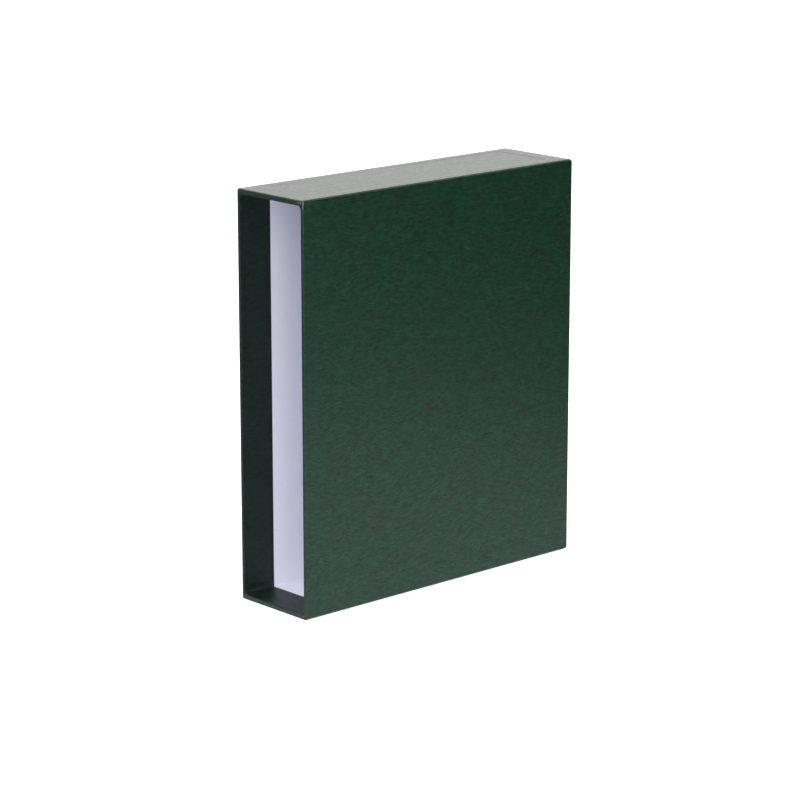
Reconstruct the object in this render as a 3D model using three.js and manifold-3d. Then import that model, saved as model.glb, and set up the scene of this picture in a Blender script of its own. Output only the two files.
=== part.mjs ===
import * as THREE from 'three';
import { RoundedBoxGeometry } from 'three/addons/geometries/RoundedBoxGeometry.js';
import { mergeVertices } from 'three/addons/utils/BufferGeometryUtils.js';
import Module from 'manifold-3d';

// Slipcase for a ring-binder stamp album, in millimetres. It stands on its bottom with +Z up.
// The open mouth faces -Y, the back is at +Y, and the thickness runs along X: right is +X.
// The origin is the centre of the bottom. Five greyboard panels are held by gummed paper stays,
// lined with white paper, and covered with paper-backed leatherette that turns in at the mouth.

// Outside size
const caseThickness = 76;
const caseDepth = 280;
const caseHeight = 320;

// Sheet stock. The sides and the back are one board, the top and the bottom a thicker one.
const sideBoardThickness = 2;
const endBoardThickness = 3;
const coverThickness = 0.3;
const liningThickness = 0.15;
const stayThickness = 0.12;
const glueLine = 0.05;

// Folds of the cover: round the outside, and round the inner edge of the mouth
const outerFoldRadius = 1.5;
const mouthFoldRadius = 1;
const foldSegments = 2;

// How far the cover goes round each edge
const mouthTurnIn = 30;
const sideTurnOver = 10;
const backTurnOver = 17;
const turnOverCornerRadius = 5;
const turnOverSnip = 8;

// Cover strips on the top and the bottom, and the tabs that climb the side walls at the mouth
const stripSetback = 1.5;
const tabStart = 3.5;
const tabEndGap = 3;
const tabSlope = 7;
const tabRise = 6;
const tabLean = 1;

// White lining and hidden stays
const liningSetback = 2;
const stayLeg = 9;
const stayEndGap = 1;

// Depth of each layer below the outer face of its wall
const coverLayer = coverThickness + glueLine;

function wallLayers(boardThickness) {
  const boardInner = coverLayer + boardThickness;
  const liningOuter = boardInner + glueLine;
  const liningInner = liningOuter + liningThickness;
  const hemOuter = liningInner + glueLine;
  const hemInner = hemOuter + coverThickness;
  return { boardInner, liningOuter, liningInner, hemOuter, hemInner };
}

const sideWall = wallLayers(sideBoardThickness);
const endWall = wallLayers(endBoardThickness);

// Planes of the case
const rightFace = caseThickness / 2;
const backFace = caseDepth / 2;
const mouthPlane = -caseDepth / 2;
const wrapMouthPlane = mouthPlane + coverLayer;
const past = 1;

const wasm = await Module();
wasm.setup();

// A closed three.js geometry as a solid. Its corners are put on a 0.1 micron grid, so that
// faces meant to lie in one plane do.
function solidOf(geometry) {
  const bare = geometry.index ? geometry.toNonIndexed() : geometry;
  const corners = bare.getAttribute('position').array.map((value) => Math.round(value * 1e4) / 1e4);
  const loose = new THREE.BufferGeometry();
  loose.setAttribute('position', new THREE.BufferAttribute(corners, 3));
  const merged = mergeVertices(loose, 1e-4);
  const vertProperties = merged.getAttribute('position').array;
  const triVerts = new Uint32Array(merged.index.array);
  return new wasm.Manifold(new wasm.Mesh({ numProp: 3, vertProperties, triVerts }));
}

function geometryOf(solid) {
  const { vertProperties, triVerts } = solid.getMesh();
  const indexed = new THREE.BufferGeometry();
  indexed.setAttribute('position', new THREE.BufferAttribute(vertProperties, 3));
  indexed.setIndex(new THREE.BufferAttribute(triVerts, 1));
  const faceted = indexed.toNonIndexed();
  faceted.computeVertexNormals();
  return faceted;
}

function block([x0, x1], [y0, y1], [z0, z1]) {
  const box = new THREE.BoxGeometry(x1 - x0, y1 - y0, z1 - z0);
  return solidOf(box.translate((x0 + x1) / 2, (y0 + y1) / 2, (z0 + z1) / 2));
}

// A wall's own axes: local x runs from the mouth to the back, local y goes in from the outer
// face, and local z runs along the mouth edge.
function wallFrame(inward, along, origin) {
  const toBack = new THREE.Vector3(0, 1, 0);
  return new THREE.Matrix4().makeBasis(toBack, inward, along).setPosition(...origin);
}

const rightWall = wallFrame(
  new THREE.Vector3(-1, 0, 0),
  new THREE.Vector3(0, 0, 1),
  [rightFace, wrapMouthPlane, 0],
);
const leftWall = wallFrame(
  new THREE.Vector3(1, 0, 0),
  new THREE.Vector3(0, 0, -1),
  [-rightFace, wrapMouthPlane, caseHeight],
);
const bottomWall = wallFrame(
  new THREE.Vector3(0, 0, 1),
  new THREE.Vector3(1, 0, 0),
  [0, mouthPlane, 0],
);
const caseFrame = new THREE.Matrix4();

function prism(shape, [from, to], frame) {
  const settings = { depth: to - from, bevelEnabled: false, curveSegments: 2 * foldSegments };
  const extruded = new THREE.ExtrudeGeometry(shape, settings).translate(0, 0, from);
  return solidOf(extruded.applyMatrix4(frame));
}

// The cover folded round a wall's mouth edge: an outer leg, the edge, and the turn-in.
function foldedCover(outerLeg, wall) {
  const shape = new THREE.Shape();
  const outer = outerFoldRadius;
  const inner = mouthFoldRadius;
  const edge = wall.hemInner - inner;
  const quarter = Math.PI / 2;
  shape.moveTo(outerLeg, 0);
  shape.lineTo(outerLeg, coverThickness);
  shape.lineTo(outer, coverThickness);
  shape.absarc(outer, outer, outer - coverThickness, 3 * quarter, 2 * quarter, true);
  shape.lineTo(coverThickness, edge);
  shape.absarc(inner, edge, inner - coverThickness, 2 * quarter, quarter, true);
  shape.lineTo(mouthTurnIn, wall.hemOuter);
  shape.lineTo(mouthTurnIn, wall.hemInner);
  shape.lineTo(inner, wall.hemInner);
  shape.absarc(inner, edge, inner, quarter, 2 * quarter, false);
  shape.lineTo(0, outer);
  shape.absarc(outer, outer, outer, 2 * quarter, 3 * quarter, false);
  return shape;
}

// The space inside that fold, which the board's mouth end fills.
function boardEnd(wall) {
  const shape = new THREE.Shape();
  const outer = outerFoldRadius;
  const inner = mouthFoldRadius;
  const edge = wall.hemInner - inner;
  const quarter = Math.PI / 2;
  shape.moveTo(caseDepth, coverLayer);
  shape.lineTo(caseDepth, wall.hemInner - coverLayer);
  shape.lineTo(inner, wall.hemInner - coverLayer);
  shape.absarc(inner, edge, inner - coverLayer, quarter, 2 * quarter, false);
  shape.lineTo(coverLayer, outer);
  shape.absarc(outer, outer, outer - coverLayer, 2 * quarter, 3 * quarter, false);
  return shape;
}

// The body inside the wrap's outer surface, taken in by an inset. The wrap lies under the top
// and bottom strips, which also pass over its ends at the mouth.
function wrappedBody(inset) {
  const width = caseThickness - 2 * inset;
  const depth = backFace - wrapMouthPlane - 2 * inset;
  const height = caseHeight - 2 * (coverLayer + inset);
  const radius = outerFoldRadius - inset;
  const box = new RoundedBoxGeometry(width, depth, height, foldSegments, radius);
  return solidOf(box.translate(0, (backFace + wrapMouthPlane) / 2, caseHeight / 2));
}

// Outline of the part of the top and bottom that the wrap's turn-overs leave bare. Each side
// turn-over is snipped off at the mouth.
function bareOutline(clearance) {
  const shape = new THREE.Shape();
  const mouthHalf = rightFace - sideWall.boardInner - clearance;
  const half = rightFace - sideTurnOver - clearance;
  const snip = mouthPlane + turnOverSnip - clearance;
  const back = backFace - backTurnOver - clearance;
  const radius = turnOverCornerRadius;
  shape.moveTo(-mouthHalf, mouthPlane - past);
  shape.lineTo(mouthHalf, mouthPlane - past);
  shape.lineTo(mouthHalf, snip);
  shape.lineTo(half, snip);
  shape.lineTo(half, back - radius);
  shape.absarc(half - radius, back - radius, radius, 0, Math.PI / 2, false);
  shape.lineTo(radius - half, back);
  shape.absarc(radius - half, back - radius, radius, Math.PI / 2, Math.PI, false);
  shape.lineTo(-half, snip);
  shape.lineTo(-mouthHalf, snip);
  return shape;
}

// What the wrap and the strips leave room for: the boards and the stays.
function boardBody() {
  const height = [coverLayer, caseHeight - coverLayer];
  return wrappedBody(coverLayer).add(prism(bareOutline(glueLine), height, caseFrame));
}

// Stays: strips of gummed paper folded over the outside of each board joint. Each one is the
// stretch of a thin skin that lies in its own box.
const bodySide = rightFace - coverLayer;
const bodyBack = backFace - coverLayer;
const bodyBottom = 2 * coverLayer;
const stayReach = stayLeg + stayEndGap;
const stayFront = mouthPlane + turnOverSnip + stayEndGap;

const stayBoxes = {
  right_bottom: [
    [bodySide - stayLeg, rightFace],
    [stayFront, bodyBack - stayReach],
    [0, bodyBottom + stayLeg],
  ],
  left_bottom: [
    [-rightFace, stayLeg - bodySide],
    [stayFront, bodyBack - stayReach],
    [0, bodyBottom + stayLeg],
  ],
  right_back: [
    [bodySide - stayLeg, rightFace],
    [bodyBack - stayLeg, backFace],
    [bodyBottom + stayReach, caseHeight - bodyBottom - stayReach],
  ],
  bottom_back: [
    [stayReach - bodySide, bodySide - stayReach],
    [bodyBack - stayLeg, backFace],
    [0, bodyBottom + stayLeg],
  ],
};

function stay(box) {
  const skin = wrappedBody(coverLayer).subtract(wrappedBody(coverLayer + stayThickness));
  return skin.intersect(block(...box));
}

// The same box after half a turn about the depth axis through the middle of the case.
function turnedBox([[x0, x1], depth, [z0, z1]]) {
  return [[-x1, -x0], depth, [caseHeight - z1, caseHeight - z0]];
}

// The shallow beds pressed into the boards by the stays, with a glue line all round.
function stayBeds() {
  const under = wrappedBody(coverLayer + stayThickness + glueLine);
  const boxes = Object.values(stayBoxes);
  const grown = [...boxes, ...boxes.map(turnedBox)].map((box) =>
    block(...box.map(([low, high]) => [low - glueLine, high + glueLine])),
  );
  return grown.map((bed) => bed.subtract(under));
}

// A board or lining reaches the whole height between two depths inside the top and bottom.
const between = (depth) => [depth, caseHeight - depth];
const across = (depth) => [depth - rightFace, rightFace - depth];

function bedded(board) {
  return stayBeds().reduce((left, bed) => left.subtract(bed), board);
}

function sideBoard() {
  const panel = block(
    [rightFace - sideWall.boardInner, rightFace - coverLayer],
    [wrapMouthPlane, backFace],
    between(0),
  );
  const rounded = panel.intersect(prism(boardEnd(sideWall), between(0), rightWall));
  return bedded(rounded.intersect(wrappedBody(coverLayer)));
}

function bottomBoard() {
  const panel = block(
    across(sideWall.liningOuter),
    [mouthPlane, backFace - sideWall.liningOuter],
    [coverLayer, endWall.boardInner],
  );
  const rounded = panel.intersect(prism(boardEnd(endWall), across(0), bottomWall));
  return bedded(rounded.intersect(boardBody()));
}

function backBoard() {
  const panel = block(
    across(sideWall.liningOuter),
    [backFace - sideWall.boardInner, backFace - coverLayer],
    between(0),
  );
  return bedded(panel.intersect(wrappedBody(coverLayer)));
}

function sideLining() {
  return block(
    [rightFace - sideWall.liningInner, rightFace - sideWall.liningOuter],
    [mouthPlane + liningSetback, backFace - sideWall.liningOuter],
    between(endWall.liningOuter),
  );
}

function bottomLining() {
  return block(
    across(sideWall.hemOuter),
    [mouthPlane + liningSetback, backFace - sideWall.hemOuter],
    [endWall.liningOuter, endWall.liningInner],
  );
}

function backLining() {
  return block(
    across(sideWall.hemOuter),
    [backFace - sideWall.liningInner, backFace - sideWall.liningOuter],
    between(endWall.liningOuter),
  );
}

// One sheet covers both sides and the back. It turns over on to the top and bottom boards
// and turns in at the mouth.
function outerWrap() {
  const skin = wrappedBody(0).subtract(wrappedBody(coverThickness));
  const bare = prism(bareOutline(0), [-past, caseHeight + past], caseFrame);
  const mouth = block(
    across(sideWall.hemInner - mouthFoldRadius),
    [wrapMouthPlane - past, wrapMouthPlane + past],
    between(endWall.hemOuter),
  );
  const shell = skin.subtract(bare).subtract(mouth);
  const inside = block(across(outerFoldRadius), [wrapMouthPlane - past, backFace], between(0));
  const fold = foldedCover(2 * outerFoldRadius, sideWall);
  const hems = [rightWall, leftWall].map((frame) =>
    prism(fold, between(endWall.hemOuter), frame).intersect(inside),
  );
  return shell.add(hems[0]).add(hems[1]);
}

// A strip covers the bottom from the back edge to the mouth, folds round the mouth edge and
// turns in, with a tab at each end of the turn-in.
function coverStrip() {
  const fold = foldedCover(caseDepth - stripSetback, endWall);
  const inside = sideWall.hemInner + glueLine;
  const foldStart = endWall.hemInner - mouthFoldRadius;
  const band = prism(fold, across(stripSetback), bottomWall).subtract(
    block(across(0), [mouthPlane - past, backFace], [foldStart, caseHeight]),
  );
  const folded = prism(fold, across(inside), bottomWall);
  const tab = new THREE.Shape();
  const tabEnd = mouthTurnIn - tabEndGap;
  const tabTop = endWall.hemInner + tabRise;
  tab.moveTo(tabStart, endWall.hemOuter);
  tab.lineTo(tabEnd, endWall.hemOuter);
  tab.lineTo(tabEnd, endWall.hemInner);
  tab.lineTo(tabEnd - tabSlope, tabTop);
  tab.lineTo(tabStart + tabLean, tabTop);
  const reach = rightFace - inside;
  const rightTab = prism(tab, [reach - coverThickness, reach], bottomWall);
  const leftTab = prism(tab, [-reach, coverThickness - reach], bottomWall);
  return band.add(folded).add(rightTab).add(leftTab);
}

const finishes = {
  cover: { color: 0x22422f, roughness: 0.45, metalness: 0 },
  board: { color: 0x8d8578, roughness: 0.95, metalness: 0 },
  lining: { color: 0xe4e4ee, roughness: 0.85, metalness: 0 },
  stay: { color: 0xb08d5e, roughness: 0.9, metalness: 0 },
};

function piece(name, solid, finish) {
  const mesh = new THREE.Mesh(geometryOf(solid), new THREE.MeshStandardMaterial(finishes[finish]));
  mesh.name = name;
  return mesh;
}

// The left wall and the top repeat the right wall and the bottom, turned half a turn about
// the depth axis through the middle of the case.
const upright = new THREE.Group();
const turned = new THREE.Group();
turned.rotation.y = Math.PI;
turned.position.z = caseHeight;

upright.add(
  piece('outer_wrap', outerWrap(), 'cover'),
  piece('back_board', backBoard(), 'board'),
  piece('back_lining', backLining(), 'lining'),
);

const pairs = [
  ['right_side_board', 'left_side_board', sideBoard(), 'board'],
  ['bottom_board', 'top_board', bottomBoard(), 'board'],
  ['right_side_lining', 'left_side_lining', sideLining(), 'lining'],
  ['bottom_lining', 'top_lining', bottomLining(), 'lining'],
  ['bottom_cover_strip', 'top_cover_strip', coverStrip(), 'cover'],
  ['stay_right_bottom', 'stay_left_top', stay(stayBoxes.right_bottom), 'stay'],
  ['stay_left_bottom', 'stay_right_top', stay(stayBoxes.left_bottom), 'stay'],
  ['stay_right_back', 'stay_left_back', stay(stayBoxes.right_back), 'stay'],
  ['stay_bottom_back', 'stay_top_back', stay(stayBoxes.bottom_back), 'stay'],
];
for (const [name, turnedName, solid, finish] of pairs) {
  upright.add(piece(name, solid, finish));
  turned.add(piece(turnedName, solid, finish));
}

const slipcase = new THREE.Group();
slipcase.add(upright, turned);

export default slipcase;
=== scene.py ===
import math

import bpy
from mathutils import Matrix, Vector, noise


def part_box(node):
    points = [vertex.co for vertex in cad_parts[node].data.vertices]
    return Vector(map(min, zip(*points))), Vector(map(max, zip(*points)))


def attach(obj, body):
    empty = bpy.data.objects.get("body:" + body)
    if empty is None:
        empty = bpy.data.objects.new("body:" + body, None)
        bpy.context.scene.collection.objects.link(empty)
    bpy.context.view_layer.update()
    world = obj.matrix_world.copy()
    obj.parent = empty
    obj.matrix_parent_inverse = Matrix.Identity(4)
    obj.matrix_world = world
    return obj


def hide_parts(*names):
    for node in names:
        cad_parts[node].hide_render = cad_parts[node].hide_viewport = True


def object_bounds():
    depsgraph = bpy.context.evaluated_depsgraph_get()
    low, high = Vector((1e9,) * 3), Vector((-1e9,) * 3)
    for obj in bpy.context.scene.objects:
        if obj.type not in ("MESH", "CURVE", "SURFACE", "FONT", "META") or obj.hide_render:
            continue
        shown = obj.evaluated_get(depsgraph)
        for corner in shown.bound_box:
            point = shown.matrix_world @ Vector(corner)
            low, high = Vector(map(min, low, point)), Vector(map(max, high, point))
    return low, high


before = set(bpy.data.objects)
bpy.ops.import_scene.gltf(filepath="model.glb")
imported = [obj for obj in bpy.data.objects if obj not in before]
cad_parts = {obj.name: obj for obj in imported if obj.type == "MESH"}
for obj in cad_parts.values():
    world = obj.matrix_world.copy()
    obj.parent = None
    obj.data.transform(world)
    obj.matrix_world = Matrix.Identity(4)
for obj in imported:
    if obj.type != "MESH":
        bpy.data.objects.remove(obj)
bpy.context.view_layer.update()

mm = 0.001
quarterTurn = math.pi / 2
print("frame loaded:", len(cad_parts), "nodes")

# Planes of the case, from the frame, in metres
wrapLow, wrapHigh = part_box("outer_wrap")
bottomStripLow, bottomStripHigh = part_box("bottom_cover_strip")
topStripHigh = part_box("top_cover_strip")[1]
sideLiningLow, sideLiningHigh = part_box("right_side_lining")
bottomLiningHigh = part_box("bottom_lining")[1]

# Sheet stock and folds, the same for every cover sheet
cover = {
    "thickness": 0.3 * mm,
    "glueLine": 0.05 * mm,
    "outerFold": 1.5 * mm,
    "mouthFold": 1.0 * mm,
    "turnIn": 30 * mm,
    "noFold": 10.0,  # a crease distance past every sheet, for a part that stays flat
    "foldSteps": 24,
    "joinDistance": 0.004 * mm,
    "sharpAngle": 50,
}

# How thick the walls are at the mouth, from the outside to the good side of the turn-in
hemLayer = cover["glueLine"] + cover["thickness"]
sideWall = wrapHigh.x - sideLiningLow.x + hemLayer
endWall = bottomLiningHigh.z - bottomStripLow.z + hemLayer


# Small helpers for node trees

def addNode(tree, kind, inputs=None, **settings):
    made = tree.nodes.new(kind)
    for key, value in settings.items():
        setattr(made, key, value)
    for key, value in (inputs or {}).items():
        feed(tree, made.inputs[key], value)
    return made


def feed(tree, socket, value):
    if isinstance(value, bpy.types.NodeSocket):
        tree.links.new(value, socket)
    else:
        socket.default_value = value


def calc(tree, operation, *values, clamp=False):
    made = tree.nodes.new("ShaderNodeMath")
    made.operation = operation
    made.use_clamp = clamp
    for socket, value in zip(made.inputs, values):
        feed(tree, socket, value)
    return made.outputs[0]


def vectorCalc(tree, operation, first, second):
    made = tree.nodes.new("ShaderNodeVectorMath")
    made.operation = operation
    feed(tree, made.inputs[0], first)
    feed(tree, made.inputs["Scale"] if operation == "SCALE" else made.inputs[1], second)
    return made.outputs["Vector"]


# The sheet folder: a flat cut sheet follows a path with rounded folds, and its long edges turn
# over at a crease. Sheet points hold (distance along the path, distance across, 0).

def sheetFolder():
    tree = bpy.data.node_groups.new("sheetFolder", "GeometryNodeTree")
    sockets = [
        ("Sheet", "NodeSocketGeometry"),
        ("Path", "NodeSocketObject"),
        ("Across", "NodeSocketVector"),
        ("Crease Radius", "NodeSocketFloat"),
        ("Crease Side", "NodeSocketFloat"),
        ("Fold Steps", "NodeSocketInt"),
        ("Join Distance", "NodeSocketFloat"),
        ("Finish", "NodeSocketMaterial"),
    ]
    for name, kind in sockets:
        tree.interface.new_socket(name, in_out="INPUT", socket_type=kind)
    tree.interface.new_socket("Sheet", in_out="OUTPUT", socket_type="NodeSocketGeometry")
    given = addNode(tree, "NodeGroupInput").outputs

    pathInfo = addNode(tree, "GeometryNodeObjectInfo", {"Object": given["Path"]})
    rounded = addNode(
        tree,
        "GeometryNodeFilletCurve",
        {
            "Curve": pathInfo.outputs["Geometry"],
            "Count": given["Fold Steps"],
            "Radius": addNode(tree, "GeometryNodeInputRadius").outputs[0],
        },
        mode="POLY",
    )
    place = addNode(tree, "GeometryNodeInputPosition").outputs[0]
    flat = addNode(tree, "ShaderNodeSeparateXYZ", {"Vector": place}).outputs
    along = addNode(
        tree,
        "GeometryNodeSampleCurve",
        {"Curves": rounded.outputs["Curve"], "Length": flat["X"]},
        mode="LENGTH",
    )
    crease = addNode(tree, "GeometryNodeInputNamedAttribute", {"Name": "creaseAt"}).outputs[0]
    lift = addNode(tree, "GeometryNodeInputNamedAttribute", {"Name": "lift"}).outputs[0]

    across = calc(tree, "ABSOLUTE", flat["Y"])
    pastCrease = calc(tree, "SUBTRACT", across, crease)
    radius = given["Crease Radius"]
    turn = calc(tree, "DIVIDE", pastCrease, radius)
    angle = addNode(tree, "ShaderNodeClamp", {"Value": turn, "Min": 0.0, "Max": quarterTurn})
    angle = angle.outputs[0]
    sideways = calc(
        tree,
        "ADD",
        calc(tree, "MINIMUM", across, crease),
        calc(tree, "MULTIPLY", radius, calc(tree, "SINE", angle)),
    )
    arc = calc(tree, "MULTIPLY", radius, calc(tree, "SUBTRACT", 1.0, calc(tree, "COSINE", angle)))
    arcLength = calc(tree, "MULTIPLY", radius, quarterTurn)
    flap = calc(tree, "MAXIMUM", calc(tree, "SUBTRACT", pastCrease, arcLength), 0.0)
    inward = calc(tree, "MULTIPLY", calc(tree, "ADD", arc, flap), given["Crease Side"])
    signed = calc(tree, "MULTIPLY", sideways, calc(tree, "SIGN", flat["Y"]))

    outward = vectorCalc(tree, "CROSS_PRODUCT", along.outputs["Tangent"], given["Across"])
    rise = calc(tree, "SUBTRACT", lift, inward)
    offset = vectorCalc(
        tree,
        "ADD",
        vectorCalc(tree, "SCALE", given["Across"], signed),
        vectorCalc(tree, "SCALE", outward, rise),
    )
    folded = addNode(
        tree,
        "GeometryNodeSetPosition",
        {
            "Geometry": given["Sheet"],
            "Position": vectorCalc(tree, "ADD", along.outputs["Position"], offset),
        },
    )
    joined = addNode(
        tree,
        "GeometryNodeMergeByDistance",
        {"Geometry": folded.outputs[0], "Distance": given["Join Distance"]},
    )
    real = addNode(tree, "GeometryNodeRealizeInstances", {"Geometry": joined.outputs[0]})
    finished = addNode(
        tree,
        "GeometryNodeSetMaterial",
        {"Geometry": real.outputs[0], "Material": given["Finish"]},
    )
    end = addNode(tree, "NodeGroupOutput")
    tree.links.new(finished.outputs[0], end.inputs["Sheet"])
    return tree


# Distances along the path at which each straight stretch and each fold begins.
def foldMarks(corners, radii):
    marks = [0.0]
    for index in range(1, len(corners)):
        length = (corners[index] - corners[index - 1]).length
        marks.append(marks[-1] + length - radii[index - 1] - radii[index])
        if radii[index] > 0:
            marks.append(marks[-1] + quarterTurn * radii[index])
    return marks


# Even cuts between two places, with one more close to each end to keep the flat flat.
def evenCuts(start, end, step, margin=0.0):
    count = max(1, round((end - start) / step))
    cuts = [start + (end - start) * index / count for index in range(count + 1)]
    return cuts + ([start + margin, end - margin] if margin else [])


# In order, without cuts that nearly coincide.
def tidyCuts(cuts, gap):
    paintedShadeFactor = []
    for cut in sorted(cuts):
        if not paintedShadeFactor or cut - paintedShadeFactor[-1] > gap:
            paintedShadeFactor.append(cut)
    return paintedShadeFactor


def smooth(low, high, value):
    share = min(1.0, max(0.0, (value - low) / (high - low)))
    return share * share * (3 - 2 * share)


def mixed(first, second, share):
    return first + (second - first) * share


# A flat sheet cut from the roll. Each point keeps its crease, its lift, how much it is lightened by
# scuffs and painted highlights, and how much painted shade darkens it on the turn-ins inside the
# mouth and on the mouth edge bands.
def cutSheet(name, alongCuts, acrossCuts, isSheet, shape):
    numbers, points, faces = {}, [], []
    values = {"creaseAt": [], "lift": [], "scuffAndHighlight": [], "paintedShade": []}

    def pointAt(i, j):
        if (i, j) not in numbers:
            numbers[(i, j)] = len(points)
            made = shape(alongCuts[i], acrossCuts[j])
            points.append((made[0], made[1], 0.0))
            for key, value in zip(values, made[2:]):
                values[key].append(value)
        return numbers[(i, j)]

    for i in range(len(alongCuts) - 1):
        for j in range(len(acrossCuts) - 1):
            middle = (alongCuts[i] + alongCuts[i + 1]) / 2, (acrossCuts[j] + acrossCuts[j + 1]) / 2
            if isSheet(*middle):
                ring = [(i, j), (i + 1, j), (i + 1, j + 1), (i, j + 1)]
                faces.append([pointAt(*at) for at in ring])
    mesh = bpy.data.meshes.new(name)
    mesh.from_pydata(points, [], faces)
    for key, value in values.items():
        mesh.attributes.new(key, "FLOAT", "POINT").data.foreach_set("value", value)
    flatMap = mesh.uv_layers.new(name="flat")
    corners = [points[loop.vertex_index][axis] for loop in mesh.loops for axis in (0, 1)]
    flatMap.data.foreach_set("uv", corners)
    made = bpy.data.objects.new(name, mesh)
    bpy.context.scene.collection.objects.link(made)
    return made


def pathObject(corners, radii):
    curve = bpy.data.curves.new("foldPath", "CURVE")
    curve.dimensions = "3D"
    spline = curve.splines.new("POLY")
    spline.points.add(len(corners) - 1)
    for point, corner, radius in zip(spline.points, corners, radii):
        point.co = (*corner, 1.0)
        point.radius = radius
    made = bpy.data.objects.new("foldPath", curve)
    bpy.context.scene.collection.objects.link(made)
    return made


def setInputs(modifier, values):
    for item in modifier.node_group.interface.items_tree:
        if item.in_out == "INPUT" and item.name in values:
            modifier[item.identifier] = values[item.name]


# Folds the flat sheet, gives it its thickness away from its good side, and keeps a plain mesh.
def foldSheet(sheet, corners, radii, finish, cutEdge, across, creaseRadius, creaseSide):
    path = pathObject(corners, radii)
    sheet.data.materials.append(finish)
    sheet.data.materials.append(cutEdge)
    folder = sheet.modifiers.new("fold", "NODES")
    folder.node_group = sheetTree
    setInputs(
        folder,
        {
            "Path": path,
            "Across": across,
            "Crease Radius": creaseRadius,
            "Crease Side": creaseSide,
            "Fold Steps": cover["foldSteps"],
            "Join Distance": cover["joinDistance"],
            "Finish": finish,
        },
    )
    solid = sheet.modifiers.new("thickness", "SOLIDIFY")
    solid.thickness = cover["thickness"]
    solid.offset = -1
    solid.use_even_offset = True
    solid.material_offset_rim = 1
    graph = bpy.context.evaluated_depsgraph_get()
    plain = bpy.data.meshes.new_from_object(sheet.evaluated_get(graph))
    sheet.modifiers.clear()
    sheet.data = plain
    while len(plain.materials) < 2:
        plain.materials.append(cutEdge)
    plain.materials[0] = finish
    plain.materials[1] = cutEdge
    plain.shade_smooth()
    plain.set_sharp_from_angle(angle=math.radians(cover["sharpAngle"]))
    bpy.data.objects.remove(path)
    return sheet


# Material building blocks

def newMaterial(name):
    made = bpy.data.materials.new(name)
    made.use_nodes = True
    tree = made.node_tree
    surface = tree.nodes["Principled BSDF"]
    return made, tree, surface


def noiseField(tree, vector, scale, detail=3.0, roughness=0.5, distortion=0.0):
    inputs = {
        "Vector": vector,
        "Scale": scale,
        "Detail": detail,
        "Roughness": roughness,
        "Distortion": distortion,
    }
    return addNode(tree, "ShaderNodeTexNoise", inputs).outputs[0]


def stretched(tree, vector, turn, scale):
    inputs = {"Vector": vector, "Rotation": (0.0, 0.0, math.radians(turn)), "Scale": scale}
    return addNode(tree, "ShaderNodeMapping", inputs).outputs[0]


def ranged(tree, value, fromLow, fromHigh, toLow, toHigh, steps="LINEAR"):
    inputs = {
        "Value": value,
        "From Min": fromLow,
        "From Max": fromHigh,
        "To Min": toLow,
        "To Max": toHigh,
    }
    return addNode(tree, "ShaderNodeMapRange", inputs, interpolation_type=steps).outputs[0]


def blendColour(tree, share, first, second, blend="MIX"):
    made = addNode(tree, "ShaderNodeMix", data_type="RGBA", blend_type=blend)
    feed(tree, made.inputs["Factor"], share)
    feed(tree, made.inputs[6], first)
    feed(tree, made.inputs[7], second)
    return made.outputs[2]


# Thin curved lines where a smooth field crosses its middle value, as creases and hairs do.
def hairLines(tree, vector, scale, width, detail, distortion):
    field = noiseField(tree, vector, scale, detail, 0.5, distortion)
    away = calc(tree, "ABSOLUTE", calc(tree, "SUBTRACT", field, 0.5))
    return ranged(tree, away, 0.0, width, 1.0, 0.0, "SMOOTHSTEP")


leatherette = {
    "deepGreen": (0.0073, 0.0350, 0.0182, 1.0),
    "clearGreen": (0.0092, 0.0465, 0.0246, 1.0),
    "brownGreen": (0.0130, 0.0364, 0.0190, 1.0),
    # lighter colour for scuffs, the thin arcs and painted highlights
    "rubbedAndHighlight": (0.16, 0.25, 0.15, 1.0),
    # painted shade: how dark the turn-ins inside the mouth and the mouth edge bands are made
    "paintedShadeTone": 0.30,
    "paintedShadeDull": 0.16,
    "cloudsPerMetre": 130.0,
    "cloudRange": (0.36, 0.66),
    "patchesPerMetre": 38.0,
    "brownRange": (0.45, 0.66),
    "brownShare": 0.6,
    "swirlsPerMetre": 26.0,
    "swirlReach": 0.020,
    "crinklesPerMetre": 780.0,
    "crinkleLength": 0.20,
    "crinkleTurns": (8.0, 62.0, 118.0),
    "secondTurn": (0.50, 0.58),
    "thirdTurn": (0.36, 0.44),
    "crinkleRange": (0.34, 0.66),
    "crinkleTone": 0.40,
    "arcsPerMetre": 30.0,
    "arcWidth": 0.003,
    "arcRange": (0.5, 0.6),
    "arcShare": 0.05,
    "grainsPerMetre": 1500.0,
    "noiseRange": (0.3, 0.7),  # what a plain noise field spans
    "grainTone": 0.1,
    "poresPerMetre": 1125.0,
    "poreEdge": 0.22,
    "reliefParts": {"pebbles": 0.25, "grain": 0.5, "crinkle": 1.1},
    "relief": 0.055 * mm,
    "reliefStrength": 0.8,
    "roughness": 0.33,
    "roughnessSpread": 0.04,
    "scuffAndHighlightDull": 0.2,
    "specular": 0.40,
}


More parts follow.
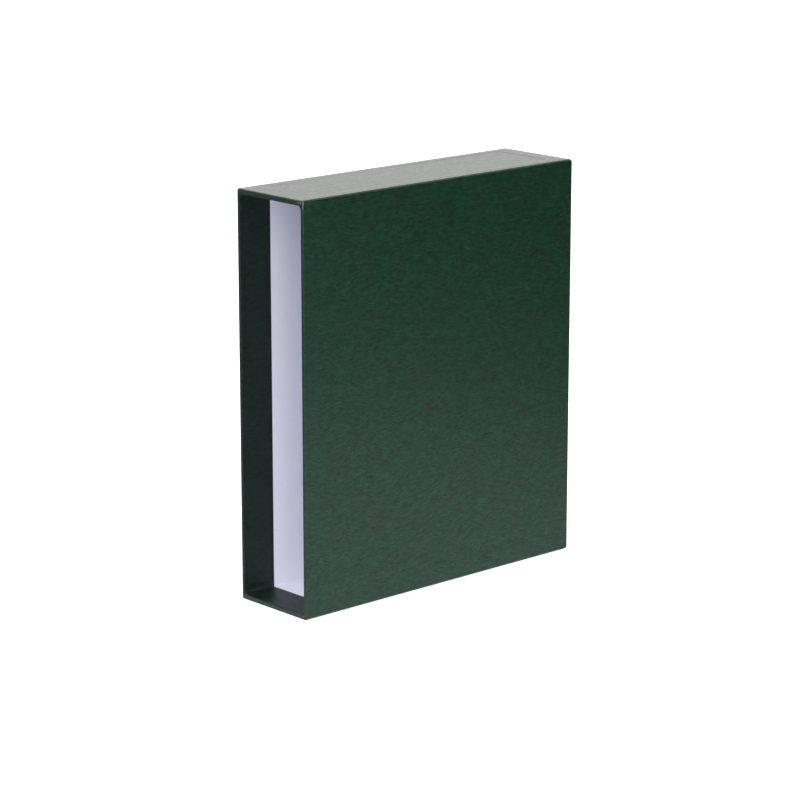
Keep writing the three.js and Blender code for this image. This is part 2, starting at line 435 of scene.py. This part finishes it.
# Fine feathery crinkles, which swirl slowly over the sheet and change direction by patches.
def crinkleField(tree, flat, patches):
    look = leatherette
    swirl = addNode(
        tree,
        "ShaderNodeTexNoise",
        {"Vector": flat, "Scale": look["swirlsPerMetre"], "Detail": 1.0},
    ).outputs["Color"]
    centred = vectorCalc(tree, "SUBTRACT", swirl, (0.5, 0.5, 0.5))
    moved = vectorCalc(tree, "ADD", flat, vectorCalc(tree, "SCALE", centred, look["swirlReach"]))
    drawnOut = (look["crinkleLength"], 1.0, 1.0)
    scale = look["crinklesPerMetre"]
    first, second, third = [
        noiseField(tree, stretched(tree, moved, turn, drawnOut), scale, 2.0, 0.55)
        for turn in look["crinkleTurns"]
    ]
    toSecond = ranged(tree, patches, *look["secondTurn"], 0.0, 1.0, "SMOOTHSTEP")
    toThird = ranged(tree, patches, *look["thirdTurn"], 1.0, 0.0, "SMOOTHSTEP")
    inputs = {"Factor": toSecond, "A": first, "B": second}
    blended = addNode(tree, "ShaderNodeMix", inputs).outputs[0]
    inputs = {"Factor": toThird, "A": blended, "B": third}
    return addNode(tree, "ShaderNodeMix", inputs).outputs[0]


def leatheretteMaterial():
    look = leatherette
    made, tree, surface = newMaterial("greenLeatherette")
    flat = addNode(tree, "ShaderNodeUVMap", uv_map="flat").outputs[0]
    clouds = noiseField(tree, flat, look["cloudsPerMetre"], 5.0, 0.6, 0.5)
    patches = noiseField(tree, flat, look["patchesPerMetre"], 3.0, 0.55, 0.5)
    fine = noiseField(tree, flat, look["grainsPerMetre"], 3.0, 0.6)
    crinkle = crinkleField(tree, flat, patches)
    colour = blendColour(
        tree,
        ranged(tree, clouds, *look["cloudRange"], 0.0, 1.0, "SMOOTHSTEP"),
        look["deepGreen"],
        look["clearGreen"],
    )
    brown = ranged(tree, patches, *look["brownRange"], 0.0, look["brownShare"], "SMOOTHSTEP")
    colour = blendColour(tree, brown, colour, look["brownGreen"])

    span, grainSpan = look["crinkleTone"], look["grainTone"]
    tone = ranged(tree, crinkle, *look["crinkleRange"], 1 - span, 1 + span)
    grain = ranged(tree, fine, *look["noiseRange"], 1 - grainSpan, 1 + grainSpan)
    # Painted shade: the per-point shade mask darkens the colour on the turn-ins inside the mouth
    # and on the mouth edge bands
    paintedShade = addNode(tree, "ShaderNodeAttribute", attribute_name="paintedShade").outputs["Fac"]
    paintedShadeFactor = ranged(tree, paintedShade, 0.0, 1.0, 1.0, look["paintedShadeTone"])
    tone = calc(tree, "MULTIPLY", calc(tree, "MULTIPLY", tone, grain), paintedShadeFactor)
    colour = vectorCalc(tree, "SCALE", colour, tone)

    arcs = hairLines(tree, flat, look["arcsPerMetre"], look["arcWidth"], 0.0, 0.9)
    arcShare = ranged(tree, patches, *look["arcRange"], 0.0, look["arcShare"])
    colour = blendColour(tree, calc(tree, "MULTIPLY", arcs, arcShare), colour, look["rubbedAndHighlight"])
    # Lighter colour from the per-point mask: scuffs at the mouth corners, plus painted highlights
    # along the mouth folds, just below the top fold and along the inner edge of the mouth bands
    scuffAndHighlight = addNode(tree, "ShaderNodeAttribute", attribute_name="scuffAndHighlight").outputs["Fac"]
    ragged = ranged(tree, fine, *look["noiseRange"], 0.5, 1.2)
    rubbedAndHighlight = calc(tree, "MULTIPLY", scuffAndHighlight, ragged, clamp=True)
    colour = blendColour(tree, rubbedAndHighlight, colour, look["rubbedAndHighlight"])

    pores = addNode(
        tree,
        "ShaderNodeTexVoronoi",
        {"Vector": flat, "Scale": look["poresPerMetre"], "Randomness": 1.0},
        feature="DISTANCE_TO_EDGE",
    ).outputs["Distance"]
    pebbles = ranged(tree, pores, 0.0, look["poreEdge"], 0.0, 1.0, "SMOOTHSTEP")
    parts = look["reliefParts"]
    grainRelief = calc(tree, "MULTIPLY", fine, parts["grain"])
    crinkleRelief = calc(tree, "MULTIPLY", crinkle, parts["crinkle"])
    relief = calc(
        tree,
        "ADD",
        calc(tree, "MULTIPLY", pebbles, parts["pebbles"]),
        calc(tree, "ADD", grainRelief, crinkleRelief),
    )
    inputs = {"Strength": look["reliefStrength"], "Distance": look["relief"], "Height": relief}
    bump = addNode(tree, "ShaderNodeBump", inputs)
    plain, spread = look["roughness"], look["roughnessSpread"]
    roughness = ranged(tree, crinkle, *look["noiseRange"], plain + spread, plain - spread)
    dulled = calc(tree, "MULTIPLY", scuffAndHighlight, look["scuffAndHighlightDull"])
    dulled = calc(tree, "ADD", dulled, calc(tree, "MULTIPLY", paintedShade, look["paintedShadeDull"]))
    feed(tree, surface.inputs["Base Color"], colour)
    feed(tree, surface.inputs["Roughness"], calc(tree, "ADD", roughness, dulled))
    surface.inputs["Specular IOR Level"].default_value = look["specular"]
    feed(tree, surface.inputs["Normal"], bump.outputs[0])
    return made


cutPaper = {
    "core": (0.045, 0.065, 0.040, 1.0),
    "fleck": (0.020, 0.038, 0.022, 1.0),
    "flecksPerMetre": 900.0,
    "roughness": (0.6, 0.8),
}


def cutEdgeMaterial():
    made, tree, surface = newMaterial("cutPaperEdge")
    place = addNode(tree, "ShaderNodeTexCoord").outputs["Object"]
    flecks = noiseField(tree, place, cutPaper["flecksPerMetre"], 3.0, 0.6)
    colour = blendColour(
        tree,
        ranged(tree, flecks, 0.4, 0.62, 0.0, 1.0),
        cutPaper["core"],
        cutPaper["fleck"],
    )
    feed(tree, surface.inputs["Base Color"], colour)
    roughness = ranged(tree, flecks, 0.3, 0.7, *cutPaper["roughness"])
    feed(tree, surface.inputs["Roughness"], roughness)
    return made


papers = {
    "lining": {
        "sheet": (0.885, 0.880, 0.995, 1.0),
        "fibre": (0.845, 0.84, 0.975, 1.0),
        "fibresPerMetre": 420.0,
        "roughness": 0.62,
        "relief": 0.02 * mm,
    },
    "stay": {
        "sheet": (0.40, 0.27, 0.14, 1.0),
        "fibre": (0.29, 0.18, 0.09, 1.0),
        "fibresPerMetre": 520.0,
        "roughness": 0.85,
        "relief": 0.03 * mm,
    },
    "board": {
        "sheet": (0.26, 0.23, 0.185, 1.0),
        "fibre": (0.13, 0.115, 0.095, 1.0),
        "fibresPerMetre": 380.0,
        "roughness": 0.93,
        "relief": 0.06 * mm,
    },
}


# What all the papers share: how the fibres lie in the sheet and how far the finish varies
paperMake = {
    "formationScale": 0.3,
    "fibreWidth": 0.05,
    "fibreHeight": 0.4,
    "reliefStrength": 0.3,
    "roughnessSpread": 0.05,
}


def paperMaterial(name):
    look = papers[name]
    made, tree, surface = newMaterial(name + "Paper")
    place = addNode(tree, "ShaderNodeTexCoord").outputs["Object"]
    formationScale = look["fibresPerMetre"] * paperMake["formationScale"]
    formation = noiseField(tree, place, formationScale, 4.0, 0.6)
    fibre = hairLines(tree, place, look["fibresPerMetre"], paperMake["fibreWidth"], 2.0, 0.8)
    share = calc(tree, "MULTIPLY", fibre, ranged(tree, formation, 0.35, 0.65, 0.2, 1.0))
    colour = blendColour(tree, share, look["sheet"], look["fibre"])
    feed(tree, surface.inputs["Base Color"], colour)
    plain, spread = look["roughness"], paperMake["roughnessSpread"]
    roughness = ranged(tree, formation, 0.3, 0.7, plain - spread, plain + spread)
    feed(tree, surface.inputs["Roughness"], roughness)
    fibreHeight = calc(tree, "MULTIPLY", fibre, paperMake["fibreHeight"])
    height = calc(tree, "ADD", formation, fibreHeight)
    strength = paperMake["reliefStrength"]
    inputs = {"Strength": strength, "Distance": look["relief"], "Height": height}
    bump = addNode(tree, "ShaderNodeBump", inputs)
    feed(tree, surface.inputs["Normal"], bump.outputs[0])
    return made


# Behind the inner mouth fold the sheet stands off a little before it lies down on the board.
lip = {
    "height": 0.22 * mm,
    "rise": (-0.4 * mm, 0.5 * mm),
    "fall": (0.7 * mm, 2.6 * mm),
}


def mouthLip(past):
    return lip["height"] * smooth(*lip["rise"], past) * (1 - smooth(*lip["fall"], past))


# The outer wrap: right side, back and left side in one sheet, turned in at the mouth and turned
# over on to the top and the bottom.

wrap = {
    "sideFlap": 10 * mm,
    "backFlap": 17 * mm,
    "snip": 8 * mm,
    "flapShares": (0.4, 0.7, 1.0),
    "cell": 5 * mm,
    "foldCells": 7,
    "margin": 0.5 * mm,
    "fineCell": 0.6 * mm,
    "fineReach": 14 * mm,
    "bow": 0.06 * mm,
    "bowReach": 30 * mm,
    "bowsPerMetre": 14,
    "bowSeed": 3.0,
    "bowInward": 0.2,
    # painted shade: the mouth edge band is darkened, fading out across the outer mouth fold, and so
    # is the turn-in inside the mouth
    "edgeShade": 0.8,
    "edgeFade": (-0.6 * mm, 0.6 * mm),
    "paintedShadeFrom": 0.6 * mm,
    "paintedShadeFade": (0.4 * mm, 1.4 * mm),
    # painted highlight: a faint lighter line along the outer mouth fold
    "mouthFoldHighlight": 0.012,
    "mouthFoldHighlightAt": 0.5 * mm,
    "mouthFoldHighlightFade": (0.1 * mm, 0.6 * mm),
}

# Lighter marks at a mouth corner: a scuffed wedge down the mouth fold, one faint line beside it,
# and one just below the top edge that is a painted highlight along the top fold
cornerMarks = {
    "wedgeLength": 6 * mm,
    "wedgeWidth": 0.9 * mm,
    "wedgeWear": 0.55,
    "besideAt": 4.3 * mm,
    "besideLean": 0.1,
    "beside": {
        "fade": (0.3 * mm, 1.1 * mm),
        "start": (1.5 * mm, 3.5 * mm),
        "end": (7 * mm, 11 * mm),
        "lighten": 0.05,
    },
    "underAt": 1.0 * mm,
    "under": {
        "fade": (0.3 * mm, 1.0 * mm),
        "start": (2 * mm, 4 * mm),
        "end": (9 * mm, 13 * mm),
        "lighten": 0.07,
    },
    "otherCorners": 0.15,  # how much of it all the other corners have
}


def faintLine(line, away, place):
    shown = smooth(*line["start"], place) * (1 - smooth(*line["end"], place))
    return line["lighten"] * (1 - smooth(*line["fade"], abs(away))) * shown


def cornerRubAndHighlight(pastFold, below):
    marks = cornerMarks
    wedge = marks["wedgeWidth"] * (1 - below / marks["wedgeLength"])
    down = 1 - smooth(0.5 * wedge, wedge, abs(pastFold)) if wedge > 0 else 0.0
    aside = pastFold - marks["besideAt"] - marks["besideLean"] * below
    beside = faintLine(marks["beside"], aside, below)
    # Painted highlight: a faint lighter line just below the top fold
    under = faintLine(marks["under"], below - marks["underAt"], pastFold)
    return max(marks["wedgeWear"] * down, beside, under)


def makeWrap(finish, cutEdge):
    fold, hem = cover["outerFold"], cover["mouthFold"]
    side, back, mouth = wrapHigh.x, wrapHigh.y, wrapLow.y
    middle = (wrapLow.z + wrapHigh.z) / 2
    tall = (wrapHigh.z - wrapLow.z) / 2
    inner = side - sideWall
    plan = [
        (inner, mouth + cover["turnIn"]),
        (inner, mouth),
        (side, mouth),
        (side, back),
        (-side, back),
        (-side, mouth),
        (-inner, mouth),
        (-inner, mouth + cover["turnIn"]),
    ]
    corners = [Vector((x, y, middle)) for x, y in plan]
    radii = [0, hem, fold, fold, fold, fold, hem, 0]
    marks = foldMarks(corners, radii)
    crease = tall - fold
    foldEnd = crease + quarterTurn * fold
    hemReach = topStripHigh.z / 2 - endWall + cover["thickness"]
    snippedFlap = side - sideLiningHigh.x - cover["glueLine"]
    half = marks[-1] / 2

    alongCuts = []
    for index, (start, end) in enumerate(zip(marks, marks[1:])):
        isFold = index % 2 == 1
        step = (end - start) / wrap["foldCells"] if isFold else wrap["cell"]
        roomy = not isFold and end - start > 4 * wrap["margin"]
        alongCuts += evenCuts(start, end, step, wrap["margin"] if roomy else 0.0)
    snipEnd = [marks[4] + wrap["snip"] - fold, marks[9] - wrap["snip"] + fold]
    nearMouth = evenCuts(marks[3], marks[4] + wrap["fineReach"], wrap["fineCell"])
    alongCuts += nearMouth + [marks[-1] - cut for cut in nearMouth]
    alongCuts = tidyCuts(alongCuts + snipEnd, gap=0.05 * mm)

    shares = [(snippedFlap - fold) / (wrap["sideFlap"] - fold), *wrap["flapShares"]]
    flapRows = [foldEnd + share * (wrap["sideFlap"] - fold) for share in shares]
    rows = evenCuts(0.0, crease, wrap["cell"], wrap["margin"]) + [hemReach]
    rows += evenCuts(crease - wrap["fineReach"], crease, wrap["fineCell"])
    rows += evenCuts(crease, foldEnd, (foldEnd - crease) / wrap["foldCells"]) + flapRows
    acrossCuts = tidyCuts([-row for row in rows] + rows, gap=0.05 * mm)

    def isSheet(along, across):
        fromEnd = min(along, marks[-1] - along)
        height = abs(across)
        if fromEnd < marks[2]:
            return height < hemReach
        if height < foldEnd:
            return True
        onSide = marks[4] < fromEnd < marks[5]
        onBack = marks[6] < along < marks[7]
        if onSide and fromEnd < snipEnd[0]:
            return height < flapRows[0]
        return onSide or onBack

    # Flaps meet in a mitre at the back corners.
    def shape(along, across):
        height, sign = abs(across), 1 if across >= 0 else -1
        fromEnd = min(along, marks[-1] - along)
        share = max(0.0, height - foldEnd) / (wrap["sideFlap"] - fold)
        newAlong, newHeight = along, height
        if share > 0 and marks[4] - 1e-9 <= fromEnd <= marks[5] + 1e-9:
            length = marks[5] - marks[4]
            taken = share * (wrap["backFlap"] - fold)
            moved = marks[4] + (fromEnd - marks[4]) * (length - taken) / length
            newAlong = moved if along < half else marks[-1] - moved
        elif share > 0:
            backHalf = (marks[7] - marks[6]) / 2
            taken = share * (wrap["sideFlap"] - fold)
            newAlong = half + (along - half) * (backHalf - taken) / backHalf
            newHeight = foldEnd + share * (wrap["backFlap"] - fold)
        fromFolds = min(crease - height, fromEnd - marks[4]) / wrap["bowReach"]
        waves = wrap["bowsPerMetre"]
        wave = noise.noise(Vector((along * waves, across * waves, wrap["bowSeed"])))
        sag = smooth(0.0, 1.0, fromFolds) * (wave - wrap["bowInward"])
        pastLip = (marks[2] + marks[1]) / 2 - fromEnd
        lift = wrap["bow"] * sag + mouthLip(pastLip)
        pastFold = fromEnd - (marks[3] + marks[4]) / 2
        # Scuffs at the corners, with a painted highlight line just below the top fold
        strength = 1 if across > 0 and along < half else cornerMarks["otherCorners"]
        rubbedAndHighlight = cornerRubAndHighlight(pastFold, crease - height) * strength
        # Painted highlight along the outer mouth fold
        fromMouthFoldHighlight = abs(pastFold - wrap["mouthFoldHighlightAt"])
        atMouth = wrap["mouthFoldHighlight"] * (1 - smooth(*wrap["mouthFoldHighlightFade"], fromMouthFoldHighlight))
        # Painted shade, on the turn-in inside the mouth and on the mouth edge band
        inside = (marks[3] + marks[2]) / 2 + wrap["paintedShadeFrom"] - fromEnd
        onEdge = 1 - smooth(*wrap["edgeFade"], pastFold)
        paintedShade = max(smooth(*wrap["paintedShadeFade"], inside), wrap["edgeShade"] * onEdge)
        return newAlong, newHeight * sign, crease, lift, max(rubbedAndHighlight, atMouth), paintedShade

    sheet = cutSheet("wrapLeatherette", alongCuts, acrossCuts, isSheet, shape)
    made = foldSheet(sheet, corners, radii, finish, cutEdge, (0.0, 0.0, 1.0), fold, 1.0)
    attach(made, "root")
    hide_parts("outer_wrap")
    print("wrap folded:", len(made.data.polygons), "faces")


# The strips on the top and the bottom, folded round the mouth edge, with a tab at each end of
# the turn-in. Over the wrap's turned-over flaps they stand a little proud.

strip = {
    "tabStart": 3.5 * mm,
    "tabEnd": 27 * mm,
    "tabSlope": 7 * mm,
    "tabRoot": 1.0 * mm,
    "tabLean": 1 * mm,
    "tabRise": 6 * mm,
    "tabFold": 3 * mm,
    "relief": 0.3 * mm,
    "cell": 4 * mm,
    "fineCell": 0.7 * mm,
    "edgeCell": 0.3 * mm,
    "tabCell": 1.2 * mm,
    "margin": 0.4 * mm,
    "foldCells": 7,
    "ridge": 0.24 * mm,
    "ridgeClimb": (-0.8 * mm, 1.0 * mm),
    "ridgeReach": 9 * mm,
    "sideFall": (0.2 * mm, 5 * mm),
    "backFall": (0.5 * mm, 6 * mm),
    "mouthFall": (7 * mm, 14 * mm),
    "sideFade": (60 * mm, 240 * mm),
    "sideFadeLow": 0.35,
    "cornerRound": 6 * mm,
    "waves": 0.02 * mm,
    "wavesPerMetre": (60, 45),
    "waveSeed": 7.0,
    # painted highlight: a faint lighter line along the inner edge of the mouth band
    "bandEdgeHighlight": 0.06,
    "bandEdgeHighlightAt": 0.4 * mm,
    "bandEdgeHighlightFade": (0.1 * mm, 0.7 * mm),
    "markWear": 0.7,
    "markAt": 0.25 * mm,
    "markFade": (0.15 * mm, 0.7 * mm),
    "markReach": (5 * mm, 3 * mm),
    "markElsewhere": 0.2,  # how much of the mark the other ends have
    # painted shade: the mouth edge band and the turn-in beyond it are darkened
    "edgeShade": 0.78,
    "edgeFade": (-0.8 * mm, 0.2 * mm),
    "paintedShadeFade": (-0.2 * mm, 1.0 * mm),
}


# How far outside the bare middle of the board a point lies: positive over a flap.
def overFlap(x, y):
    sideEdge = wrapHigh.x - wrap["sideFlap"]
    backEdge = wrapHigh.y - wrap["backFlap"]
    rounding = strip["cornerRound"]
    dx = abs(x) - (sideEdge - rounding)
    dy = y - (backEdge - rounding)
    outside = math.hypot(max(dx, 0.0), max(dy, 0.0)) + min(max(dx, dy), 0.0)
    return outside - rounding


def stripLift(x, y):
    fromSide = bottomStripHigh.x - abs(x)
    fromBack = bottomStripHigh.y - y
    fromMouth = y - bottomStripLow.y
    climb = smooth(*strip["ridgeClimb"], overFlap(x, y))
    fall = smooth(*strip["sideFall"], fromSide) * smooth(*strip["backFall"], fromBack)
    sideFade = mixed(strip["sideFadeLow"], 1.0, smooth(*strip["sideFade"], fromMouth))
    start = smooth(*strip["mouthFall"], fromMouth)
    acrossWaves, alongWaves = strip["wavesPerMetre"]
    place = Vector((x * acrossWaves, y * alongWaves, strip["waveSeed"]))
    wave = strip["waves"] * noise.noise(place)
    return strip["ridge"] * climb * fall * sideFade * start + wave * start * fall


def makeStrip(name, node, outerZ, up, finish, cutEdge):
    low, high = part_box(node)
    fold, hem = cover["outerFold"], cover["mouthFold"]
    mouth, backEnd, wide = low.y, high.y, high.x
    innerZ = outerZ + up * endWall
    corners = [
        Vector((0, backEnd, outerZ)),
        Vector((0, mouth, outerZ)),
        Vector((0, mouth, innerZ)),
        Vector((0, mouth + cover["turnIn"], innerZ)),
    ]
    radii = [0, fold, hem, 0]
    marks = foldMarks(corners, radii)
    narrow = wrapHigh.x - sideWall - cover["glueLine"]
    tabFace = narrow - cover["thickness"]
    tabCrease = tabFace - strip["tabFold"]
    tabFoldEnd = tabCrease + quarterTurn * strip["tabFold"]
    tabTop = tabFoldEnd + strip["tabRise"] - strip["tabFold"]
    tabFrom = marks[4] + strip["tabRoot"] - hem
    tabSide = strip["tabStart"] - strip["tabRoot"] + strip["tabLean"]
    tabTo = marks[4] + strip["tabEnd"] - hem
    relief = strip["relief"]
    flapStep = marks[0] + backEnd - (wrapHigh.y - wrap["backFlap"])

    alongCuts = []
    for index, (start, end) in enumerate(zip(marks, marks[1:])):
        isFold = index % 2 == 1
        step = (end - start) / strip["foldCells"] if isFold else strip["cell"]
        roomy = not isFold and end - start > 5 * strip["margin"]
        alongCuts += evenCuts(start, end, step, strip["margin"] if roomy else 0.0)
    alongCuts += evenCuts(0.0, flapStep + strip["ridgeReach"], strip["fineCell"])
    alongCuts += evenCuts(marks[2], marks[3], strip["edgeCell"])
    alongCuts += [tabFrom - relief, tabFrom, tabTo, tabTo + relief]
    alongCuts = tidyCuts(alongCuts, gap=0.05 * mm)

    fineFrom = wrapHigh.x - wrap["sideFlap"] - 8 * mm
    rows = evenCuts(0.0, fineFrom, strip["cell"])
    rows += evenCuts(fineFrom, tabCrease, strip["fineCell"])
    rows += evenCuts(tabCrease, tabFoldEnd, strip["tabFold"] * quarterTurn / 4)
    rows += [narrow, wide - strip["margin"], wide] + evenCuts(wide, tabTop, strip["tabCell"])
    acrossCuts = tidyCuts([-row for row in rows] + rows, gap=0.02 * mm)

    def isSheet(along, across):
        width = abs(across)
        if along < marks[3]:
            return width < wide
        if tabFrom < along < tabTo:
            return width < tabTop
        nearTab = tabFrom - relief < along < tabTo + relief
        return width < (tabCrease if nearTab else narrow)

    def shape(along, across):
        width, sign = abs(across), 1 if across >= 0 else -1
        isTab = tabFrom - 1e-9 <= along <= tabTo + 1e-9
        crease = tabCrease if isTab and width > tabCrease + 1e-9 else cover["noFold"]
        newAlong = along
        height = max(0.0, width - tabFoldEnd) / (tabTop - tabFoldEnd)
        if isTab and height > 0:
            share = (along - tabFrom) / (tabTo - tabFrom)
            left = tabFrom + tabSide * smooth(-0.3, 0.7, height)
            right = tabTo - strip["tabSlope"] * height
            newAlong = mixed(left, right, share)
        y = backEnd - along
        pastLip = along - (marks[3] + marks[4]) / 2
        lift = stripLift(across, y) if along < marks[1] else mouthLip(pastLip)
        # Painted highlight along the inner edge of the mouth band
        fromBandEdgeHighlight = abs(along - (marks[2] + marks[3]) / 2 - strip["bandEdgeHighlightAt"])
        bandEdgeHighlight = strip["bandEdgeHighlight"] * (1 - smooth(*strip["bandEdgeHighlightFade"], fromBandEdgeHighlight))
        start, full = strip["markReach"]
        mark = 1 - smooth(*strip["markFade"], abs(along - marks[2] - strip["markAt"]))
        mark *= smooth(wide - start, wide - full, width)
        mark *= 1 if up < 0 and sign > 0 else strip["markElsewhere"]
        scuffAndHighlight = max(bandEdgeHighlight, strip["markWear"] * mark)
        # Painted shade, on the mouth edge band and on the turn-in
        onEdge = smooth(*strip["edgeFade"], along - (marks[1] + marks[2]) / 2)
        paintedShade = max(smooth(*strip["paintedShadeFade"], pastLip), strip["edgeShade"] * onEdge)
        return newAlong, width * sign, crease, lift, scuffAndHighlight, paintedShade

    sheet = cutSheet(name, alongCuts, acrossCuts, isSheet, shape)
    across = (-float(up), 0.0, 0.0)
    made = foldSheet(sheet, corners, radii, finish, cutEdge, across, strip["tabFold"], -1.0)
    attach(made, "root")
    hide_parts(node)
    print(name, "folded:", len(made.data.polygons), "faces")


sheetTree = sheetFolder()
coverFinish = leatheretteMaterial()
cutFinish = cutEdgeMaterial()
makeWrap(coverFinish, cutFinish)
makeStrip("bottomStrip", "bottom_cover_strip", bottomStripLow.z, 1, coverFinish, cutFinish)
makeStrip("topStrip", "top_cover_strip", topStripHigh.z, -1, coverFinish, cutFinish)

finishes = {name: paperMaterial(name) for name in papers}
for name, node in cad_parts.items():
    finish = next((finishes[key] for key in finishes if key in name), coverFinish)
    for slot in node.material_slots:
        slot.material = finish
print("materials set")


# Floor, light and camera

# The case stands on a white table in a darker room, with a bright backdrop behind it on the left.
# The eye sees the floor as plain white, while the object is lit by the table and the room.
studio = {
    "floorSize": 40.0,
    "floorTone": (0.92, 0.92, 0.92, 1.0),
    "floorLift": 0.75,
    "skyTone": (1.0, 1.0, 1.0, 1.0),
    "tableCentre": (0.24, -0.14, 0.0),
    "tableEdge": (0.25, 1.0),
    "tableGlow": (0.80, 0.84, 0.90, 1.0),
    "tableStrength": 1.1,
    "roomFloor": 0.09,
    "sky": 0.43,
    "darkSide": (0.74, 0.66, -0.05),
    "darkReach": (0.50, 0.92),
    "backdrop": (-0.72, 0.65, 0.20),
    "backdropReach": (0.45, 0.93),
    "backdropGain": 1.15,
    "front": (0.14, -0.84, 0.52),
    "frontReach": (0.60, 0.97),
    "frontGain": 2.35,
    "sideLamp": {"at": (0.72, -0.50, 0.20), "aim": (0.038, -0.08, 0.07), "size": 0.4, "power": 2.2},
}


def makeFloor():
    half = studio["floorSize"] / 2
    mesh = bpy.data.meshes.new("floor")
    ring = [(-half, -half), (half, -half), (half, half), (-half, half)]
    mesh.from_pydata([(x, y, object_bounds()[0].z) for x, y in ring], [], [(0, 1, 2, 3)])
    made, tree, surface = newMaterial("paleFloor")
    surface.inputs["Base Color"].default_value = studio["floorTone"]
    surface.inputs["Roughness"].default_value = 1.0
    surface.inputs["Specular IOR Level"].default_value = 0.0
    surface.inputs["Emission Color"].default_value = studio["skyTone"]
    surface.inputs["Emission Strength"].default_value = studio["floorLift"]

    place = addNode(tree, "ShaderNodeTexCoord").outputs["Object"]
    away = addNode(
        tree,
        "ShaderNodeVectorMath",
        {0: place, 1: studio["tableCentre"]},
        operation="DISTANCE",
    ).outputs["Value"]
    near, far = studio["tableEdge"]
    glow = ranged(tree, away, near, far, studio["tableStrength"], studio["roomFloor"], "SMOOTHSTEP")
    table = addNode(tree, "ShaderNodeEmission", {"Color": studio["tableGlow"], "Strength": glow})
    path = addNode(tree, "ShaderNodeLightPath").outputs["Is Camera Ray"]
    both = addNode(
        tree,
        "ShaderNodeMixShader",
        {0: path, 1: table.outputs[0], 2: surface.outputs[0]},
    )
    tree.links.new(both.outputs[0], tree.nodes["Material Output"].inputs["Surface"])
    mesh.materials.append(made)
    floor = bpy.data.objects.new("floor", mesh)
    bpy.context.scene.collection.objects.link(floor)


# How far a direction of the room leans towards one side of it, from 0 to 1.
def towards(tree, direction, side, reach):
    facing = addNode(
        tree,
        "ShaderNodeVectorMath",
        {0: direction, 1: Vector(side).normalized()},
        operation="DOT_PRODUCT",
    ).outputs["Value"]
    return ranged(tree, facing, *reach, 0.0, 1.0, "SMOOTHSTEP")


def makeLamp(at, aim, size, power):
    data = bpy.data.lights.new("softLamp", "AREA")
    data.shape = "DISK"
    data.size = size
    data.energy = power
    lamp = bpy.data.objects.new("softLamp", data)
    bpy.context.scene.collection.objects.link(lamp)
    lamp.location = at
    lamp.rotation_euler = (Vector(aim) - Vector(at)).to_track_quat("-Z", "Y").to_euler()
    lamp.visible_camera = False
    lamp.visible_glossy = False


def makeLight():
    world = bpy.data.worlds.new("studio")
    bpy.context.scene.world = world
    world.use_nodes = True
    tree = world.node_tree
    direction = addNode(tree, "ShaderNodeTexCoord").outputs["Generated"]
    dark = towards(tree, direction, studio["darkSide"], studio["darkReach"])
    backdrop = towards(tree, direction, studio["backdrop"], studio["backdropReach"])
    front = towards(tree, direction, studio["front"], studio["frontReach"])
    light = calc(tree, "MULTIPLY", calc(tree, "SUBTRACT", 1.0, dark), studio["sky"])
    light = calc(tree, "ADD", light, calc(tree, "MULTIPLY", backdrop, studio["backdropGain"]))
    light = calc(tree, "ADD", light, calc(tree, "MULTIPLY", front, studio["frontGain"]))
    makeLamp(**studio["sideLamp"])
    sky = tree.nodes["Background"]
    sky.inputs["Color"].default_value = studio["skyTone"]
    feed(tree, sky.inputs["Strength"], light)


view = {
    "lens": 133.5,
    "azimuth": 47.65,
    "elevation": 13.98,
    "distance": 2.3496,
    "aim": (-0.02914, 0.01707, 0.13268),
}


def makeCamera():
    data = bpy.data.cameras.new("camera")
    data.lens = view["lens"]
    data.sensor_width = 36
    camera = bpy.data.objects.new("camera", data)
    bpy.context.scene.collection.objects.link(camera)
    turn, tilt = math.radians(view["azimuth"]), math.radians(view["elevation"])
    back = Vector(
        (math.sin(turn) * math.cos(tilt), -math.cos(turn) * math.cos(tilt), math.sin(tilt))
    )
    camera.location = Vector(view["aim"]) + back * view["distance"]
    camera.rotation_euler = (-back).to_track_quat("-Z", "Y").to_euler()
    bpy.context.scene.camera = camera


makeFloor()
makeLight()
makeCamera()
bpy.context.scene.view_settings.view_transform = "Standard"
print("studio ready")
